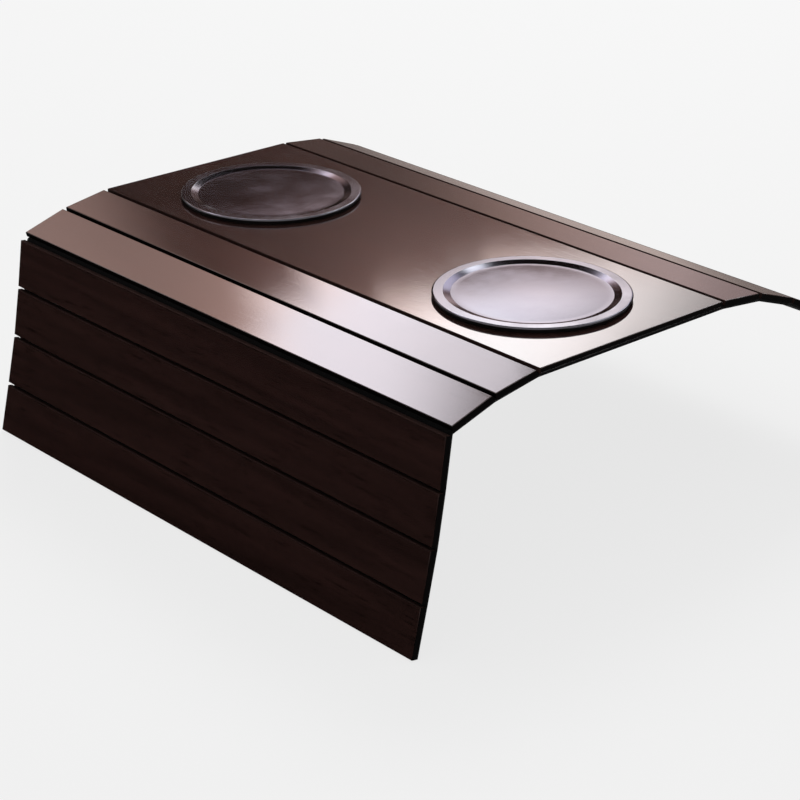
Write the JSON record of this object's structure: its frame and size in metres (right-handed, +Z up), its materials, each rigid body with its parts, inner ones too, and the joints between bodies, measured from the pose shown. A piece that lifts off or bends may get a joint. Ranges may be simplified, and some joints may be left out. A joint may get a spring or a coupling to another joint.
{
  "type": "sofa arm tray",
  "caption": "Flexible tray that drapes over a sofa arm: lacquered slats on a felt sheet, with round metal cup dishes on the wide middle board.",
  "frame": {"origin": "under the middle of the centre board, on the underside of the felt, where the tray rests on the sofa's arm", "axes": "+X to the tray's right across the arm, +Y along the arm to the back, +Z up out of the dishes"},
  "size_m": [0.3586, 0.34, 0.1272],
  "materials": {
    "lacquered_board": "satin",
    "felt": "matte",
    "dish_metal": "polished",
    "ring_rubber": "matte",
    "pad_foam": "matte"
  },
  "bodies": {
    "middle": {"centre_board": "lacquered_board", "centre_felt": "felt", "front_dish": "dish_metal", "front_dish_ring": "ring_rubber", "front_dish_pad": "pad_foam", "rear_dish": "dish_metal", "rear_dish_ring": "ring_rubber", "rear_dish_pad": "pad_foam"},
    "left_strip_1": {"left_slat_1": "lacquered_board", "left_felt_1": "felt", "left_felt_fold_1": "felt"},
    "left_strip_2": {"left_slat_2": "lacquered_board", "left_felt_2": "felt", "left_felt_fold_2": "felt"},
    "left_strip_3": {"left_slat_3": "lacquered_board", "left_felt_3": "felt", "left_felt_fold_3": "felt"},
    "left_strip_4": {"left_slat_4": "lacquered_board", "left_felt_4": "felt", "left_felt_fold_4": "felt"},
    "left_strip_5": {"left_slat_5": "lacquered_board", "left_felt_5": "felt", "left_felt_fold_5": "felt"},
    "left_strip_6": {"left_slat_6": "lacquered_board", "left_felt_6": "felt", "left_felt_fold_6": "felt"},
    "right_strip_1": {"right_slat_1": "lacquered_board", "right_felt_1": "felt", "right_felt_fold_1": "felt"},
    "right_strip_2": {"right_slat_2": "lacquered_board", "right_felt_2": "felt", "right_felt_fold_2": "felt"},
    "right_strip_3": {"right_slat_3": "lacquered_board", "right_felt_3": "felt", "right_felt_fold_3": "felt"},
    "right_strip_4": {"right_slat_4": "lacquered_board", "right_felt_4": "felt", "right_felt_fold_4": "felt"},
    "right_strip_5": {"right_slat_5": "lacquered_board", "right_felt_5": "felt", "right_felt_fold_5": "felt"},
    "right_strip_6": {"right_slat_6": "lacquered_board", "right_felt_6": "felt", "right_felt_fold_6": "felt"}
  },
  "joints": [
    {"name": "left_hinge_1", "type": "hinge", "parent": "middle", "child": "left_strip_1", "pos_m": [-0.06385, 0, 0.00075], "axis": [0, -1, 0], "range_deg": [-33.4, 26.6], "deforming": ["left_felt_fold_1"]},
    {"name": "left_hinge_2", "type": "hinge", "parent": "left_strip_1", "child": "left_strip_2", "pos_m": [-0.09118, 0, -0.00377], "axis": [0, -1, 0], "range_deg": [-31.8, 28.2], "deforming": ["left_felt_fold_2"]},
    {"name": "left_hinge_3", "type": "hinge", "parent": "left_strip_2", "child": "left_strip_3", "pos_m": [-0.11764, 0, -0.01197], "axis": [0, -1, 0], "range_deg": [-88.8, 13.2], "deforming": ["left_felt_fold_3"]},
    {"name": "left_hinge_4", "type": "hinge", "parent": "left_strip_3", "child": "left_strip_4", "pos_m": [-0.12149, 0, -0.0394], "axis": [0, -1, 0], "range_deg": [-22.5, 37.5], "deforming": ["left_felt_fold_4"]},
    {"name": "left_hinge_5", "type": "hinge", "parent": "left_strip_4", "child": "left_strip_5", "pos_m": [-0.12607, 0, -0.06672], "axis": [0, -1, 0], "range_deg": [-21.1, 38.9], "deforming": ["left_felt_fold_5"]},
    {"name": "left_hinge_6", "type": "hinge", "parent": "left_strip_5", "child": "left_strip_6", "pos_m": [-0.13201, 0, -0.09377], "axis": [0, -1, 0], "range_deg": [-23.4, 36.6], "deforming": ["left_felt_fold_6"]},
    {"name": "right_hinge_1", "type": "hinge", "parent": "middle", "child": "right_strip_1", "pos_m": [0.06385, 0, 0.00075], "axis": [0, 1, 0], "range_deg": [-30.2, 29.8], "deforming": ["right_felt_fold_1"]},
    {"name": "right_hinge_2", "type": "hinge", "parent": "right_strip_1", "child": "right_strip_2", "pos_m": [0.09139, 0, -0.00224], "axis": [0, 1, 0], "range_deg": [-37.4, 22.6], "deforming": ["right_felt_fold_2"]},
    {"name": "right_hinge_3", "type": "hinge", "parent": "right_strip_2", "child": "right_strip_3", "pos_m": [0.11748, 0, -0.01153], "axis": [0, 1, 0], "range_deg": [-30.4, 71.6], "deforming": ["right_felt_fold_3"]},
    {"name": "right_hinge_4", "type": "hinge", "parent": "right_strip_3", "child": "right_strip_4", "pos_m": [0.14238, 0, -0.02368], "axis": [0, 1, 0], "range_deg": [-24.5, 35.5], "deforming": ["right_felt_fold_4"]},
    {"name": "right_hinge_5", "type": "hinge", "parent": "right_strip_4", "child": "right_strip_5", "pos_m": [0.16717, 0, -0.03604], "axis": [0, 1, 0], "range_deg": [-24.5, 35.5], "deforming": ["right_felt_fold_5"]},
    {"name": "right_hinge_6", "type": "hinge", "parent": "right_strip_5", "child": "right_strip_6", "pos_m": [0.19185, 0, -0.04861], "axis": [0, 1, 0], "range_deg": [-24.3, 35.7], "deforming": ["right_felt_fold_6"]}
  ]
}
